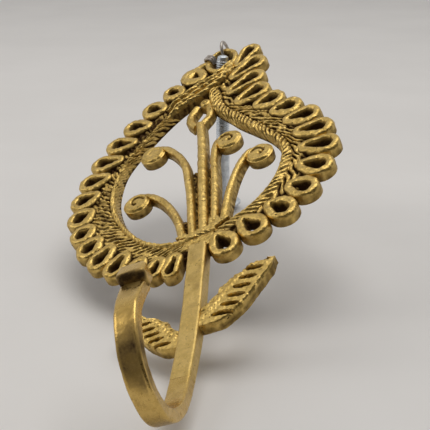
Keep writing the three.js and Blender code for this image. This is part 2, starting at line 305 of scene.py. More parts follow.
def make_piece(name, parts, node, look, body="casting", sharp=55):
    """A piece that stands for a node, from parts, each (rings, shade, around): rings is steps x points x 3,
    shade is how dark each point is painted from 0 to 1, with painted shade and dirt, and around joins the
    last ring to the first."""
    vertices, faces, shades = [], [], []
    for rings, shade, around in parts:
        rings = np.clip(rings, BOX_LOW, BOX_HIGH)
        steps, size, _ = rings.shape
        base = sum(len(v) for v in vertices)
        index = base + np.arange(steps * size).reshape(steps, size)
        beside = np.roll(index, -1, axis=1)
        if around:
            quads = np.stack([index, beside, np.roll(beside, -1, 0), np.roll(index, -1, 0)], -1)
        else:
            quads = np.stack([index[:-1], beside[:-1], beside[1:], index[1:]], -1)
        made = quads.reshape(-1, 4).tolist()
        if not around:
            made.append(index[0][::-1].tolist())
            made.append(index[-1].tolist())
        vertices.append(rings.reshape(-1, 3))
        faces.append(made)
        shades.append(np.broadcast_to(shade, rings.shape[:2]).ravel())
    mesh = bpy.data.meshes.new(name)
    mesh.from_pydata((np.vstack(vertices) * 0.001).tolist(), [], [f for made in faces for f in made])
    paint_shade_and_grime(mesh, np.concatenate(shades))
    work = bmesh.new()
    work.from_mesh(mesh)
    bmesh.ops.remove_doubles(work, verts=work.verts, dist=2e-6)
    bmesh.ops.dissolve_degenerate(work, edges=work.edges, dist=1e-7)
    bmesh.ops.recalc_face_normals(work, faces=work.faces)
    work.to_mesh(mesh)
    work.free()
    finish_piece(name, mesh, node, look, body, sharp)


def on_wall(flat, height):
    """Points [x, z] in the plane of the wall, raised by height towards the front."""
    height = np.broadcast_to(height, flat.shape[:-1])
    return np.stack([flat[..., 0], -height, flat[..., 1]], -1)


def rough_cast(rings, amount, wavelength, seed):
    """Moves every point of a casting a little, less so on the flat back."""
    raised = np.clip(-rings[..., 1] / 1.5, 0, 1)[..., None]
    shift = np.stack([bumps(rings, wavelength, seed + k) for k in range(3)], -1)
    return rings + shift * amount * raised


# ---- materials ----
def principled(name):
    material = bpy.data.materials.new(name)
    material.use_nodes = True
    nodes = material.node_tree.nodes
    return material, nodes, nodes["Principled BSDF"]


def join(source, socket):
    """Links a node's output to a socket of the same tree."""
    socket.id_data.links.new(source, socket)


def feed(value, socket):
    """Sets a number or a colour on a socket, or joins another node's output to it."""
    if isinstance(value, tuple):
        socket.default_value = (*value, 1)
    elif isinstance(value, (int, float)):
        socket.default_value = value
    else:
        join(value, socket)


def noise_node(nodes, scale, detail, roughness, stretch=None):
    """A noise texture in the piece's own space; scale is bumps per metre."""
    place = nodes.new("ShaderNodeTexCoord")
    texture = nodes.new("ShaderNodeTexNoise")
    texture.inputs["Scale"].default_value = scale
    texture.inputs["Detail"].default_value = detail
    texture.inputs["Roughness"].default_value = roughness
    source = place.outputs["Object"]
    if stretch:
        mapping = nodes.new("ShaderNodeMapping")
        mapping.inputs["Scale"].default_value = stretch
        join(source, mapping.inputs["Vector"])
        source = mapping.outputs["Vector"]
    join(source, texture.inputs["Vector"])
    return texture.outputs["Fac"]


def ramp_node(source, stops):
    """A colour ramp; stops are (place, colour), a colour being three numbers or one grey."""
    ramp = source.id_data.nodes.new("ShaderNodeValToRGB")
    elements = ramp.color_ramp.elements
    while len(elements) < len(stops):
        elements.new(0.5)
    for element, (place, colour) in zip(elements, stops):
        element.position = place
        rgb = colour if isinstance(colour, tuple) else (colour,) * 3
        element.color = (*rgb, 1)
    join(source, ramp.inputs["Fac"])
    return ramp.outputs["Color"]


def mix_node(factor, first, second):
    mix = factor.id_data.nodes.new("ShaderNodeMix")
    mix.data_type = "RGBA"
    feed(factor, mix.inputs[0])
    feed(first, mix.inputs[6])
    feed(second, mix.inputs[7])
    return mix.outputs[2]


def math_node(operation, *values):
    node = values[0].id_data.nodes.new("ShaderNodeMath")
    node.operation = operation
    for value, socket in zip(values, node.inputs):
        feed(value, socket)
    return node.outputs[0]


def bump_chain(layers, shader):
    """Bump from several height sources: (height, strength, distance in metres)."""
    last = None
    for height, strength, distance in layers:
        bump = shader.id_data.nodes.new("ShaderNodeBump")
        bump.inputs["Strength"].default_value = strength
        bump.inputs["Distance"].default_value = distance
        join(height, bump.inputs["Height"])
        if last:
            join(last, bump.inputs["Normal"])
        last = bump.outputs["Normal"]
    join(last, shader.inputs["Normal"])


def brass_material(name, gold, shade, dirt_and_shade, rough, pitted, brushed=0.0):
    """Brass with blotches of tarnish, painted shade and dirt where the mesh's attribute asks for them, paler
    specks as painted glints, pits and optional file marks.
    """
    material, nodes, shader = principled(name)
    shader.inputs["Specular IOR Level"].default_value = 0.15
    # This attribute carries painted shade and dirt into the colour.
    shade_and_grime = nodes.new("ShaderNodeAttribute")
    shade_and_grime.attribute_name = "shade_and_grime"
    blotches = noise_node(nodes, 260, 5.0, 0.65)
    grain = noise_node(nodes, 1500, 4.0, 0.6)
    pits = noise_node(nodes, 900, 2.0, 0.5)
    metal = ramp_node(blotches, [(0.3, shade), (0.62, gold)])
    # Paler specks in the fine grain are painted glints.
    glint_colour = tuple(min(1.0, c * 1.25) for c in gold)
    metal = mix_node(ramp_node(grain, [(0.5, 0.0), (0.72, 0.6)]), metal, glint_colour)
    pit_mask = ramp_node(pits, [(0.27, 1.0), (0.36, 0.0)])
    speckle = math_node("MULTIPLY", pit_mask, pitted)
    uneven = math_node("MULTIPLY_ADD", grain, 0.5, -0.25)
    darkness = math_node("ADD", shade_and_grime.outputs["Fac"], uneven)
    mask = ramp_node(darkness, [(0.22, 0.0), (0.85, 1.0)])
    mask = math_node("MAXIMUM", mask, speckle)
    colour = mix_node(mask, metal, dirt_and_shade)
    join(colour, shader.inputs["Base Color"])
    join(ramp_node(mask, [(0.0, 1.0), (1.0, 0.25)]), shader.inputs["Metallic"])
    base_rough = ramp_node(blotches, [(0.3, rough + 0.12), (0.7, rough)])
    join(mix_node(mask, base_rough, (0.85, 0.85, 0.85)), shader.inputs["Roughness"])
    layers = [(grain, 0.8 * pitted, 0.00014), (pits, 0.8 * pitted, 0.00028)]
    if brushed:
        marks = noise_node(nodes, 260, 3.0, 0.6, stretch=(1, 9, 9))
        layers.append((marks, brushed, 0.00015))
    bump_chain(layers, shader)
    return material


def steel_material(name, bright, dull, rough):
    material, nodes, shader = principled(name)
    blotches = noise_node(nodes, 400, 4.0, 0.6)
    grain = noise_node(nodes, 2500, 3.0, 0.6)
    join(ramp_node(blotches, [(0.35, dull), (0.65, bright)]), shader.inputs["Base Color"])
    shader.inputs["Metallic"].default_value = 0.9
    join(ramp_node(grain, [(0.3, rough + 0.15), (0.7, rough)]), shader.inputs["Roughness"])
    bump_chain([(grain, 0.2, 0.0001)], shader)
    return material


# A look is a material and the record's slot that it is the finish of.
# The third colour of each brass is the dark that painted shade and dirt go to.
CAST = (brass_material("antique_cast_brass", (0.72, 0.505, 0.16), (0.42, 0.28, 0.07), (0.062, 0.028, 0.006),
                       rough=0.3, pitted=0.9), "brass")
FILED = (brass_material("filed_brass", (0.68, 0.485, 0.17), (0.52, 0.36, 0.105), (0.09, 0.05, 0.018),
                        rough=0.34, pitted=0.5, brushed=0.9), "filed_brass")
POLISHED = (brass_material("rubbed_brass", (0.64, 0.435, 0.14), (0.48, 0.315, 0.085), (0.07, 0.04, 0.015),
                           rough=0.2, pitted=0.25, brushed=0.06), "filed_brass")
ZINC = (steel_material("zinc_plate", (0.76, 0.8, 0.83), (0.52, 0.56, 0.6), 0.32), "zinc")
TIE = (steel_material("tie_steel", (0.62, 0.58, 0.53), (0.34, 0.3, 0.26), 0.35), "tie_steel")


# ---- petals and the eye ----
# Section of a ring: across from the hole (0) to the outside (1), height over the depth, and painted shade
# with grime.
# Below 0 a point lies inside the hole, because the hole narrows towards the back.
RING_ACROSS, RING_LEVEL, RING_SHADE_AND_GRIME = np.array([
    (-0.45, 0.0, 1.0), (-0.3, 0.3, 0.95), (-0.16, 0.56, 0.85), (-0.06, 0.74, 0.65), (0.0, 0.86, 0.35),
    (0.06, 0.93, 0.12), (0.15, 0.975, 0.0), (0.3, 1.0, 0.0), (0.48, 1.0, 0.0), (0.66, 0.985, 0.0),
    (0.8, 0.94, 0.0), (0.91, 0.86, 0.08), (0.97, 0.75, 0.2), (1.0, 0.56, 0.34), (1.0, 0.28, 0.42),
    (0.98, 0.0, 0.5)]).T


def ring_parts(node, grow, seed, tilt=0.0):
    """A rounded ring between the outline and the hole of a node. grow gives the swell of each point of
    the outline, and tilt makes one side of the ring a little lower."""
    loops = wall_loops(node)
    outline = even_loop(loops[0], 84)
    hole = loops[1]
    middle = even_loop(hole, 40).mean(0)
    normal = loop_normals(outline)
    if ((outline - middle) * normal).sum() < 0:
        normal = -normal
    fine = even_loop(hole, 160) - middle
    angles = np.arctan2(fine[:, 1], fine[:, 0])
    order = np.argsort(angles)
    facing = np.arctan2(*(outline - middle).T[::-1])
    reach = np.interp(facing, angles[order], norm(fine, axis=1)[order], period=2 * pi)
    inner = np.stack([np.cos(facing), np.sin(facing)], 1) * reach[:, None]
    swell = grow(outline)[:, None]
    outer = outline + normal * swell - middle
    across = RING_ACROSS[None, :, None]
    rings = inner[:, None] + np.maximum(across, 0) * (outer - inner)[:, None]
    rings = rings + np.minimum(across, 0) * inner[:, None]
    slope = 1 + tilt * (rings[..., 1] / 6)
    height = RING_LEVEL * CAST_DEPTH * np.clip(slope, 0.8, 1)
    body = rough_cast(on_wall(rings + middle, height), 0.09, 2.2, seed)

    # Painted shade, with some dirt, lies in the hole and where the root of a petal meets the braid.
    root = np.clip((swell - PETAL_SWELL) / PETAL_ROOT_REACH, 0, 1)
    shade = RING_SHADE_AND_GRIME + 0.12 * bumps(body, 3, seed + 9)
    shade = shade + 0.75 * root * ease(0.8, 1.0, RING_ACROSS)
    return body, shade, True


def petal_swell(edge, more):
    """Swell of a petal's outline: more at its root, so that it runs over the edge of the braid."""
    def grow(outline):
        gap = norm(outline[:, None] - edge[None], axis=2).min(1)
        return PETAL_SWELL + PETAL_ROOT_REACH * (1 - ease(0.5, 8.5, gap)) + more
    return grow


def eye_swell(outline):
    return np.full(len(outline), EYE_SWELL)


def make_petals(side, count, seed):
    edge = even_loop(wall_loops("braid_" + side)[0], 500)
    for i in range(1, count + 1):
        node = f"petal_{side}_{i:02d}"
        tilt = np.random.default_rng(seed + i).uniform(-0.06, 0.06)
        grow = petal_swell(edge, EYE_PETAL_SWELL if node == "petal_left_16" else 0.0)
        make_piece("ring_" + node, [ring_parts(node, grow, seed + 10 * i, tilt)], node, CAST)


# ---- braids ----
def edged(shade, first, last, count=1):
    """The painted shade and grime across a band, with that of its edges, which are count points wide."""
    steps = len(shade)
    return np.hstack([np.full((steps, count), first), shade, np.full((steps, count), last)])


def ridges(phase, sharpness):
    """0 on the crest of a ridge and 1 in the groove between two."""
    return 1 - np.abs(np.sin(pi * phase)) ** sharpness


def braid_parts(node, style, seed, lead=None):
    """A cord with a row of slanting strokes beside it and a skirt that runs on under the petals. style is
    a set of dimensions of a braid, in which turn is 1 where it runs clockwise from its lower end; lead is
    more of it before that end, as [inner x, inner z, outer x, outer z]."""
    steps = 1000
    a, b = two_sides(node, steps)
    inner, outer = (a, b) if lengths(a)[-1] < lengths(b)[-1] else (b, a)
    lift = np.zeros((steps, 1))
    if lead:
        pairs = np.hstack([inner, outer])
        pairs = smooth_line(np.vstack([lead, pairs[::25], pairs[-1:]]), steps)
        inner = pairs[:, :2]
        outer = pairs[:, 2:]
        lift = OVER_BAR_LIFT * ease(16, 9, lengths(inner))[:, None]
    along = lengths((inner + outer) / 2)[:, None]
    share = along / along[-1]
    outwards = unit(outer - inner)
    bulge = style["bulge"] * ease(0.66, 0.78, share) * ease(1.0, 0.93, share)
    inner = inner - bulge * outwards
    width = norm(outer - inner, axis=1)[:, None]
    coarse = ease(style["coarse_from"], style["coarse_from"] + 0.08, share)
    upper = ease(0.28, 0.5, share)
    cord = style["cord"] * (style["low_cord"] + (1 - style["low_cord"]) * upper) + COARSE_SWELL * coarse
    dirt_and_shade = style["dirt_and_shade"] * (0.3 + 0.7 * upper)

    # Across the band, from the wall up the round inner side of the cord to its crest, then out to the
    # outer edge and on to the end of the skirt. lean is 0 on the wall and a quarter turn from the crest on.
    crest = CREST_SHARE * cord
    climb = np.linspace(0, pi / 2, 28)
    outer_part = np.linspace(0, 1, 41)[1:]
    skirt_part = np.linspace(0.08, 1, 14)
    lean = np.append(climb, np.full(outer_part.size + skirt_part.size, pi / 2))[None]
    skirt = (SKIRT + NECK_SKIRT * ease(0.8, 0.95, share)) * skirt_part
    across = np.hstack([crest * (1 - np.cos(climb)), crest + outer_part * (width - crest), width + skirt])
    level = 0.1 + 0.9 * np.sin(lean)
    wrapped = np.hypot(np.diff(across, axis=1), np.diff(level, axis=1) * BRAID_DEPTH)
    girth = np.hstack([np.zeros((steps, 1)), np.cumsum(wrapped, axis=1)])
    top = inner[:, None] + across[..., None] * outwards[:, None]
    spot = on_wall(top, BRAID_DEPTH * level)

    # The strands of the cord.
    wander = (0.16 + 0.08 * upper) * bumps(spot, 8, seed)
    on_cord = 1 - ease(cord - 0.7, cord + 0.3, across)
    run = style["turn"] * along
    fine_strands = ridges((run + CORD_SLANT * girth) / style["strand_pitch"] + wander, 0.8)
    thick_strands = ridges((run + COARSE_SLANT * girth) / COARSE_PITCH + wander, 0.8)
    fine_cut = style["strand_cut"] * (0.6 + 0.4 * upper)
    cord_cut = ((1 - coarse) * fine_cut * fine_strands + coarse * COARSE_CUT * thick_strands) * on_cord
    cord_cut = cord_cut * (0.95 + 0.3 * bumps(spot, 4, seed + 1))

    # The strokes outside it, and the seam between.
    stroke_phase = (run - style["stroke_slant"] * across) / style["stroke_pitch"]
    strokes = ridges(stroke_phase + 1.3 * wander, 0.75) * (1 - on_cord)
    stroke_cut = style["stroke_cut"] * strokes * (0.85 + 0.5 * bumps(spot, 3.5, seed + 2))
    seam = (0.15 + 0.4 * upper) * np.exp(-((across - cord) / 0.35) ** 2)
    cut = np.clip(cord_cut, 0, 1.6) + np.clip(stroke_cut, 0, 2.2) + seam

    fall = np.clip((across - crest) / (cord - crest), 0, 1)
    shape = level - 0.2 * fall ** 2 - 0.24 * ease(0, 3.5, across - width)
    roughness = 0.05 + 0.07 * upper + 0.14 * coarse + 0.4 * dirt_and_shade * (1 - on_cord)
    rough = roughness * bumps(spot, 1.7, seed + 3)
    height = np.maximum(BRAID_DEPTH * shape + (lift + rough - cut) * np.sin(lean), 0.3)
    pushed = top + (cut * np.cos(lean))[..., None] * outwards[:, None]
    rings = [on_wall(inner, 0.0)[:, None], on_wall(pushed, height), on_wall(top[:, -1:], 0.0)]
    rings = rough_cast(np.hstack(rings), 0.05, 2.0, seed + 5)
    # Painted shade: the grooves, the wall edges, the skirt under the petals and the low parts near the wall
    # are darker; on the strokes it goes with dirt.
    grooves = np.clip(1.35 * cut - 0.14, 0, 1) + 0.75 * ease(-0.5, 1.5, across - width)
    grooves = grooves + (0.3 * coarse + dirt_and_shade) * ease(cord - 0.5, cord + 0.8, across)
    grooves = grooves + 0.5 * ease(0.35, 0.1, level)
    shade = edged(grooves, 0.8, 0.9) + (0.12 + 0.6 * dirt_and_shade) * bumps(rings, 3, seed + 6)
    return rings, shade, False


# The left braid starts at the lower end of the right one and passes over the top of the bar.
OVER_THE_BAR = [(7.0, 15.6, 6.6, 10.8), (3.2, 15.2, 3.4, 9.2), (-0.4, 14.3, -0.8, 8.0)]

# Twisted wires that run from the left braid over the neck to the right of the eye, [x, z].
NECK_STRANDS = [
    [(-17, 99.5), (-9.8, 104.8), (-3.5, 109.4), (2, 111.6), (6.2, 114.6), (9.6, 118.2), (12.4, 124.6)],
    [(-15.5, 97), (-7, 102.6), (-1.5, 107), (4, 109.9), (8, 113), (11.2, 117.4), (13.8, 123)],
    [(-17, 93.2), (-9, 98.4), (-2.2, 101.9), (2, 105), (6.5, 108.8), (10.6, 113.6), (13.6, 118.6)],
]

# A smooth wire that carries the ring of the last left petal on to the eye, [x, z].
EYE_BRIDGE = [(1.6, 126.9), (-2.6, 126.2), (-6.5, 123.6), (-8.9, 119.4), (-8.6, 115.5)]


def strand_parts(points, seed):
    """A round wire twisted like a rope, raised over the braids."""
    steps = 260
    line = smooth_line(np.array(points, float), steps)
    share = np.linspace(0, 1, steps)
    taper = 1 - 0.35 * ease(0.8, 1, share) - 0.3 * ease(0.12, 0, share)
    side = sideways(line) * taper[:, None]
    v = np.linspace(0, 1, 15)
    flat = line[:, None] + ((v - 0.5) * STRAND_WIDTH)[None, :, None] * side[:, None]
    wander = 0.15 * bumps(on_wall(flat, 0.0), 5, seed + 2)
    cut = 0.4 * ridges(lengths(line)[:, None] / STRAND_PITCH + 1.3 * v + wander, 0.8)
    roundness = 0.62 + 0.38 * (1 - np.abs(2 * v - 1) ** 2.2)
    level = STRAND_HEIGHT * taper[:, None] * roundness - cut
    rings = [on_wall(flat[:, :1], 0.5), on_wall(flat, level), on_wall(flat[:, -1:], 0.5)]
    rings = rough_cast(np.hstack(rings), 0.07, 1.8, seed)
    # Painted shade: the grooves of the twist and the sides of the wire are darker.
    edge = 0.55 * np.abs(2 * v - 1) ** 4
    shade = edged(np.clip(1.3 * cut - 0.1, 0, 1) + edge, 0.8, 0.8)
    return rings, shade + 0.15 * bumps(rings, 2, seed + 1), False


# ---- stems, scrolls, branches and bud ----
# Half the section of a round-topped stem: across, height over the depth, and painted shade with grime, darker
# low on the sides.
HALF_STEM = np.array([(0, 0, 0.55), (0, 0.3, 0.5), (0.005, 0.52, 0.42), (0.05, 0.7, 0.25), (0.13, 0.84, 0.08),
                      (0.25, 0.94, 0), (0.38, 0.99, 0), (0.5, 1, 0)])
ACROSS, LEVEL, STEM_SHADE_AND_GRIME = np.vstack([HALF_STEM, (1, 0, 0) + HALF_STEM[-2::-1] * (-1, 1, 1)]).T


def bridge_parts(points, seed):
    """A plain round wire lying on the wall."""
    line = smooth_line(np.array(points, float), 90)
    side = sideways(line) * BRIDGE_WIDTH
    flat = line[:, None] + (ACROSS - 0.5)[None, :, None] * side[:, None]
    rings = rough_cast(on_wall(flat, LEVEL * BRIDGE_HEIGHT), 0.08, 1.8, seed)
    return rings, STEM_SHADE_AND_GRIME + 0.15 * bumps(rings, 2, seed + 1), False


def stem_parts(node, seed, start_reach, end_reach=0.0, height=None, count=150, stop=None):
    """A round-topped wire between the two edges of a node, reaching a little past its ends. height gives
    its height at each point of its middle line, over the depth of a stem, and stop is where it ends."""
    a, b = (edge[:stop] for edge in two_sides(node, count))
    for line in (a, b):
        heading = (line[0] - line[3]) / norm(line[0] - line[3])
        line[0] += heading * start_reach
        line[1] += heading * start_reach * 0.5
        heading = (line[-1] - line[-4]) / norm(line[-1] - line[-4])
        line[-1] += heading * end_reach
    level = STEM_DEPTH * (height((a + b) / 2) if height else np.ones(len(a)))
    flat = a[:, None] + ACROSS[None, :, None] * (b - a)[:, None]
    rings = rough_cast(on_wall(flat, LEVEL * level[:, None]), 0.07, 1.6, seed)
    return rings, STEM_SHADE_AND_GRIME + 0.2 * bumps(rings, 1.6, seed + 4), False


def branch_height(line):
    return np.full(len(line), BRANCH_HEIGHT)


def fitted_centre(points):
    """Centre of the circle that best fits the points."""
    system = np.column_stack([2 * points, np.ones(len(points))])
    return np.linalg.lstsq(system, (points ** 2).sum(1), rcond=None)[0][:2]


def scroll_parts(node, turn, depth, seed):
    """A stem that runs into a round boss with a curled groove of some depth. turn is 1 for a curl that runs
    anticlockwise seen from the front."""
    a, b = two_sides(node, 150)
    line = (a + b) / 2
    along = lengths(line)
    rim = SCROLL_RIM
    centre = fitted_centre(line[along > along[-1] - 3.5 * rim])
    stop = int(np.argmax(norm(line - centre, axis=1) < rim - 1.3)) + 8

    def sinks(part):
        return 1 - 0.6 * ease(rim - 0.4, rim - 1.7, norm(part - centre, axis=1))

    stem = stem_parts(node, seed, start_reach=2.5, height=sinks, stop=stop)

    # The groove runs in from the rim as a spiral and ends in a pit near the middle.
    count = 96
    share = np.concatenate([np.linspace(0.02, 0.9, 26), [0.95, 0.985, 1.0]])
    theta = full_turn(count)[:, None]
    start = 0.02 * pi if turn > 0 else 0.98 * pi
    swept = (turn * (theta - start)) % (2 * pi)
    groove_at = 0.64 - 0.46 * swept / GROOVE_TURN
    away = (share - groove_at) * rim / GROOVE_WIDTH
    groove = np.where(swept > GROOVE_TURN, 0, np.exp(-away ** 2)) * ease(0, 0.5, swept)
    end = turn * GROOVE_TURN + start
    pit = 0.18 * np.array([cos(end), sin(end)])
    flat = np.stack([share * np.cos(theta), share * np.sin(theta)], -1)
    groove = np.maximum(groove, np.exp(-(norm(flat - pit, axis=2) * rim / 0.6) ** 2))
    bevel = 1 - 0.2 * ease(0.72, 1.0, share) ** 1.5
    face = on_wall(centre + flat * rim, STEM_DEPTH * bevel - depth * groove)

    # From the middle of the face out to its rim, down the wall and in to the middle of the back.
    hub = np.broadcast_to(centre, (count, 1, 2))
    rim_line = flat[:, -1:] * rim + centre
    walls = [on_wall(rim_line * (1 - s) + centre * s, h) for s, h in ((0, 2.4), (0.01, 1.2), (0.05, 0.0))]
    rings = np.hstack([on_wall(hub, STEM_DEPTH), face, *walls, on_wall(hub, 0.0)])
    rings = rough_cast(rings, 0.05, 2.4, seed + 30)
    rings[:, 0] = rings[:, 0].mean(0)
    rings[:, -1] = rings[:, -1].mean(0)
    # Painted shade: the groove and the walls of the boss are darker.
    dark = 0.95 * groove * min(1, depth / GROOVE_DEPTH)
    shade = np.hstack([np.zeros((count, 1)), dark, np.tile([0.4, 0.55, 0.6, 0.6], (count, 1))])
    shade = shade + 0.15 * bumps(rings, 2.5, seed + 31)
    return [stem, (rings, shade, True)]


def centre_line(node):
    a, b = two_sides(node, 150)
    line = (a + b) / 2
    return line[:int(np.argmax(line[:, 1])) + 1]


def web_parts(left, right, low, high, height, seed):
    """Rough metal that fills the space between two stems near their base, painted dark as shade between them.
    """
    lines = [centre_line(node) for node in (left, right)]
    z = np.linspace(low, high, 90)
    edges = [np.interp(z, line[:, 1], line[:, 0]) for line in lines]
    v = np.linspace(0, 1, 24)
    x = edges[0][:, None] + v * (edges[1] - edges[0])[:, None]
    flat = np.stack([x, np.broadcast_to(z[:, None], x.shape)], -1)
    level = height * (1 - 0.5 * ease(0.7, 1, (z - low) / (high - low)))[:, None]
    top = on_wall(flat, level + 0.45 * bumps(on_wall(flat, 0.0), 1.3, seed))
    rings = np.hstack([on_wall(flat[:, :1], 0.1), top, on_wall(flat[:, -1:], 0.1)])
    return rings, 0.75 + 0.35 * bumps(rings, 1.2, seed + 1), False


def bud_parts():
    """A round bud, turned about a line that stands on the wall."""
    low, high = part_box("bud")
    middle = (np.array(low) + np.array(high)) * 500
    radius = (high.x - low.x) * 500
    # From the middle of the front: away from the middle, height, and painted shade with grime, darker in the
    # groove and down the sides.
    away, height, shade_and_grime = np.array([
        (0, 4.5, 0.1), (0.2, 4.4, 0.2), (0.32, 4.15, 0.7), (0.45, 4.3, 0.2), (0.62, 4.25, 0), (0.8, 3.9, 0),
        (0.94, 3.2, 0.05), (1, 2.3, 0.3), (1, 1.1, 0.5), (0.97, 0, 0.6), (0, 0, 0.6)]).T
    theta = full_turn(48)[:, None]
    flat = np.stack([np.cos(theta) * away, np.sin(theta) * away], -1) * radius * 1.2
    return on_wall(flat + middle[[0, 2]], height), shade_and_grime, True


# ---- the junction over the bar, and the lip ----
def make_fan_base(name, seed):
    """A fine-meshed copy of the CAD junction with softened edges and an uneven surface."""
    source = new_object("rough_copy", frame["nodes"]["fan_base"].data.copy())
    remesh = source.modifiers.new("remesh", "REMESH")
    remesh.mode = "VOXEL"
    remesh.voxel_size = COPY_VOXEL * 0.001
    soften = source.modifiers.new("soften", "SMOOTH")
    soften.factor = 0.5
    soften.iterations = 6
    bpy.context.view_layer.update()
    graph = bpy.context.evaluated_depsgraph_get()
    mesh = bpy.data.meshes.new_from_object(source.evaluated_get(graph))
    bpy.data.objects.remove(source)
    mesh.name = name
    place = np.array([v.co for v in mesh.vertices]) * 1000
    normal = np.array([v.normal for v in mesh.vertices])
    lift = COPY_GROW + COPY_UNEVEN * (bumps(place, 1.5, seed) + 0.7 * bumps(place, 4, seed + 1))
    place = np.clip((place + normal * lift[:, None]) * (1, COPY_SQUASH, 1), BOX_LOW, BOX_HIGH)
    mesh.vertices.foreach_set("co", (place * 0.001).astype(np.float32).ravel())
    # Painted shade: the surface is darker where it turns away from the front.
    front = np.clip(-normal[:, 1], 0, 1)
    paint_shade_and_grime(mesh, 0.15 + 0.35 * (1 - front) + 0.2 * bumps(place, 2.0, seed + 2))
    finish_piece(name, mesh, "fan_base", CAST, "casting", 60)


def lip_parts(seed):
    """A block with well-rounded edges, tilted about the X axis and painted darker underneath as shade."""
    # It is cut off just short of its two poles.
    rise = np.linspace(-0.4999 * pi, 0.4999 * pi, 60)[:, None]
    theta = full_turn(120)
    x = squared(np.cos(rise), 0.3) * squared(np.cos(theta), 0.3) * LIP_HALF[0]
    y = squared(np.cos(rise), 0.3) * squared(np.sin(theta), 0.3) * LIP_HALF[1]
    z = np.broadcast_to(squared(np.sin(rise), 0.3), x.shape) * LIP_HALF[2]
    cosine = cos(LIP_TILT)
    sine = sin(LIP_TILT)
    rings = np.stack([x, y * cosine - z * sine, y * sine + z * cosine], -1) + np.array(LIP_CENTRE)
    rings = rings + 0.08 * bumps(rings, 5, seed)[..., None]
    # Painted shade: darker towards the underside.
    shade = 0.04 + 0.66 * ease(0.3, 1.0, -z / LIP_HALF[2]) + 0.15 * bumps(rings, 3, seed + 1)
    return rings, shade, False


# ---- strap: bar and hook ----
def rounded_section(bevel):
    """Points round a rectangle from -1 to 1 with small round corners, and which are near an edge."""
    corners = [(1, 1), (-1, 1), (-1, -1), (1, -1)]
    points = []
    for number, (x, y) in enumerate(corners):
        turn = number * pi / 2
        for i in range(4):
            angle = turn + pi / 2 * i / 3
            points.append((x, y, cos(angle) * bevel, sin(angle) * bevel, 1.0))
        next_x, next_y = corners[(number + 1) % 4]
        steps = 7 if number % 2 else 10
        for i in range(1, steps):
            share = i / steps
            points.append((x + (next_x - x) * share, y + (next_y - y) * share,
                           cos(turn + pi / 2) * bevel, sin(turn + pi / 2) * bevel, 0.0))
    return np.array(points)


def strap_parts(upper, seed):
    """The strap above or below the split, with round corners and slightly wavy hand-filed faces."""
    line = smooth_line(np.array(STRAP_LINE), 1200)
    u = np.linspace(0, 1, 1200)
    if upper:
        keep = (line[:, 1] >= BAR_SPLIT_Z - 0.4) & (u < 0.5)
    else:
        keep = (line[:, 1] <= BAR_SPLIT_Z) | (u >= 0.5)
    pick = np.nonzero(keep)[0]
    pick = pick[np.linspace(0, len(pick) - 1, 300).astype(int)]
    at = line[pick]
    u = u[pick]
    out = -sideways(line)[pick]
    thinning = np.clip((u - 0.25) / 0.25, 0, 1)
    widening = np.clip((u - 0.9) / 0.1, 0, 1)
    half_thick = (BAR_THICKNESS + (HOOK_THICKNESS - BAR_THICKNESS) * thinning) / 2
    half_wide = (STRAP_WIDTH + (STRAP_TIP_WIDTH - STRAP_WIDTH) * widening) / 2
    centre = 0.8 - 1.7 * np.minimum(1, 2 * u) - 0.5 * widening
    section = rounded_section(STRAP_BEVEL)
    near_edge = section[:, 4]
    x = centre[:, None] + section[:, 0] * (half_wide[:, None] - STRAP_BEVEL) + section[:, 2]
    away = section[:, 1] * (half_thick[:, None] - STRAP_BEVEL) + section[:, 3]
    rings = np.stack([x, at[:, :1] + away * out[:, :1], at[:, 1:] + away * out[:, 1:]], -1)
    if upper:
        rings[0, :, 2] += 0.7
    waviness = 0.05 * bumps(rings, 9, seed) + 0.02 * bumps(rings, 2, seed + 1)
    rings = rings + waviness[..., None] * np.array([0.7, 0.5, 0.5])

    # The bar is a little darker towards the top, the bend is bright, and the arm of the hook is darkened with
    # painted reflection, most in a dark band.
    side = (np.abs(section[:, 0]) >= 0.999) & (near_edge == 0)
    reflection_band = 0.42 * np.exp(-((u - 0.8) / 0.055) ** 2)
    tone = (0.28 - 0.22 * ease(0.0, 0.5, u) + 0.2 * ease(0.6, 0.8, u) + reflection_band)[:, None]
    shade = tone - 0.05 * side - 0.25 * near_edge + 0.12 * bumps(rings, 6, seed + 2)
    return rings, shade, False


